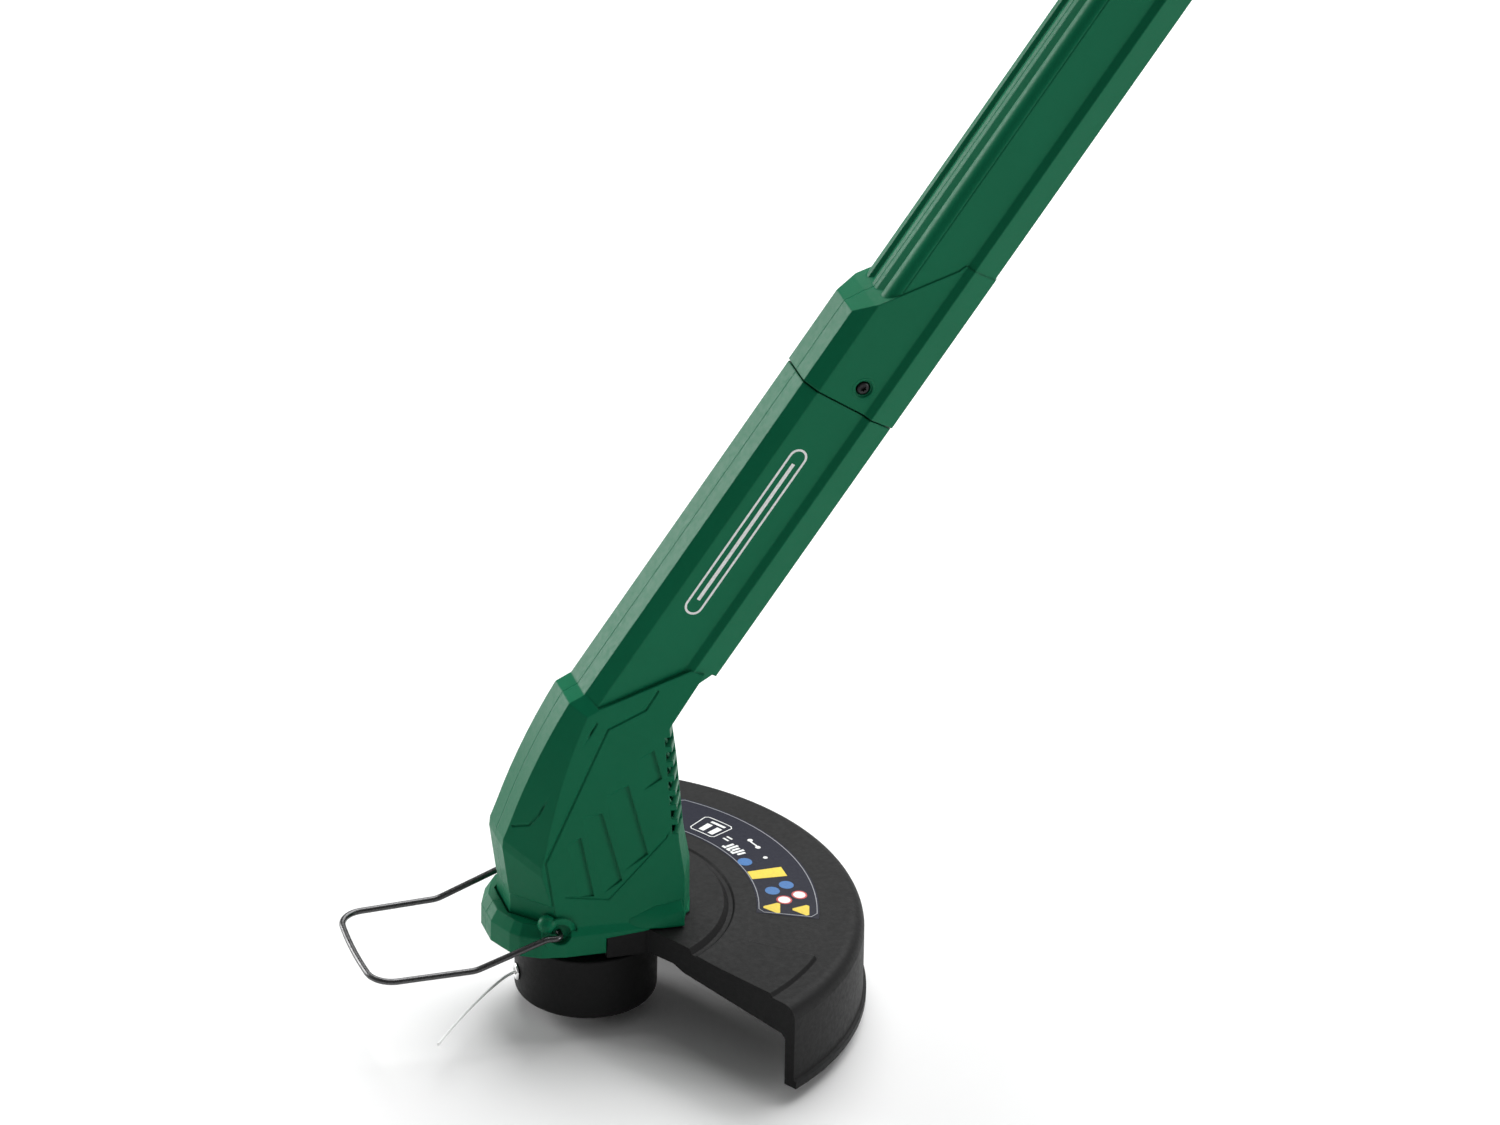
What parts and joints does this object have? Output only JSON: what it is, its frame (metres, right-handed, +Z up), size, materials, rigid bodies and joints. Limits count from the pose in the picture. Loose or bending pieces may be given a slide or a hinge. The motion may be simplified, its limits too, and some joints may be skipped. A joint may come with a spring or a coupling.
{
  "type": "string trimmer",
  "caption": "Corded garden string trimmer with tap head, sector guard, swinging wire plant guard, clamshell shaft, loop rear handle and tilting front handle.",
  "frame": {"origin": "centre of the tap knob's bottom face, where the spool axis meets the ground", "axes": "+Z up along the spool axis, +X from the head towards the operator, +Y to the right of someone facing the head from behind, the mirror plane is y = 0"},
  "size_m": [0.6012, 0.2272, 0.8303],
  "materials": {
    "green_plastic": "satin moulded",
    "black_plastic": "fine moulded grain",
    "inner_plastic": "moulded",
    "soft_grip": "soft grain",
    "lead_sheath": "smooth",
    "black_screw": "blackened",
    "dark_wire": "dark drawn wire",
    "steel": "machined",
    "bright_steel": "polished",
    "copper": "enamelled copper",
    "carbon": "carbon",
    "label_film": "printed film",
    "nylon_line": "translucent nylon"
  },
  "bodies": {
    "frame": {"lower_shell_near": "green_plastic", "lower_shell_far": "green_plastic", "upper_shell_near": "green_plastic", "upper_shell_far": "green_plastic", "guard": "black_plastic", "cord_gland": "black_plastic", "detent_discs": "black_plastic", "switch_body": "inner_plastic", "cord_clamp": "inner_plastic", "lower_bearing_bracket": "inner_plastic", "upper_bearing_bracket": "inner_plastic", "brush_holders": "inner_plastic", "capacitor": "inner_plastic", "grip_pad": "soft_grip", "motor_lead": "lead_sheath", "mains_lead": "lead_sheath", "joint_screw": "black_screw", "shell_screws": "black_screw", "guard_screws": "black_screw", "line_cutter_blade": "steel", "front_handle_bolt": "steel", "trigger_pin": "steel", "lower_bearing": "steel", "upper_bearing": "steel", "stator_core": "steel", "lock_spring": "steel", "brush_springs": "steel", "field_windings": "copper", "carbon_brushes": "carbon", "guard_label": "label_film"},
    "head": {"motor_shaft": "steel", "armature_core": "steel", "armature_windings": "copper", "commutator": "copper", "cooling_fan": "inner_plastic", "spool_housing": "black_plastic", "spool_cover": "black_plastic", "line_eyelet": "bright_steel", "head_nut": "steel", "cutting_line": "nylon_line", "spool_spring": "steel"},
    "spool": {"tap_knob": "black_plastic", "line_spool": "inner_plastic", "wound_line": "nylon_line"},
    "plant_guard": {"plant_guard_wire": "dark_wire"},
    "trigger": {"trigger": "black_plastic"},
    "plunger": {"switch_plunger": "black_plastic"},
    "lock_button": {"lock_off_button": "black_plastic"},
    "front_handle": {"front_handle": "black_plastic", "front_grip_sleeve": "soft_grip"},
    "clamp_knob": {"clamp_knob": "black_plastic"}
  },
  "joints": [
    {"name": "head_spin", "type": "hinge", "parent": "frame", "child": "head", "pos_m": [0, 0, 0], "axis": [0, 0, 1], "continuous": true},
    {"name": "tap_press", "type": "slide", "parent": "head", "child": "spool", "axis": [0, 0, 1], "range_m": [0, 0.004], "stiffness_N_per_m": 1500, "springref_m": -0.003, "deforming": ["spool_spring"]},
    {"name": "plant_guard_pivot", "type": "hinge", "parent": "frame", "child": "plant_guard", "pos_m": [-0.0224, 0, 0.0562], "axis": [0, 1, 0], "range_deg": [0, 90]},
    {"name": "trigger_pull", "type": "hinge", "parent": "frame", "child": "trigger", "pos_m": [0.36407, 0, 0.71687], "axis": [0, -1, 0], "range_deg": [0, 6], "stiffness_Nm_per_rad": 1.5, "springref_deg": -2.86},
    {"name": "plunger_slide", "type": "slide", "parent": "frame", "child": "plunger", "axis": [-0.8241, 0, 0.5664], "range_m": [0, 0.00425]},
    {"name": "lock_off_press", "type": "slide", "parent": "frame", "child": "lock_button", "axis": [0.8241, 0, -0.5664], "range_m": [0, 0.003], "stiffness_N_per_m": 600, "springref_m": -0.001, "deforming": ["lock_spring"]},
    {"name": "front_handle_tilt", "type": "hinge", "parent": "frame", "child": "front_handle", "pos_m": [0.28524, 0, 0.55627], "axis": [0, 1, 0], "range_deg": [-40, 40]},
    {"name": "clamp_knob_turn", "type": "hinge", "parent": "frame", "child": "clamp_knob", "pos_m": [0.28524, 0, 0.55627], "axis": [0, 1, 0], "range_deg": [0, 360]}
  ],
  "couplings": [
    {"joint": "plunger_slide", "follows": "trigger_pull", "m_per_rad": 0.04011}
  ]
}
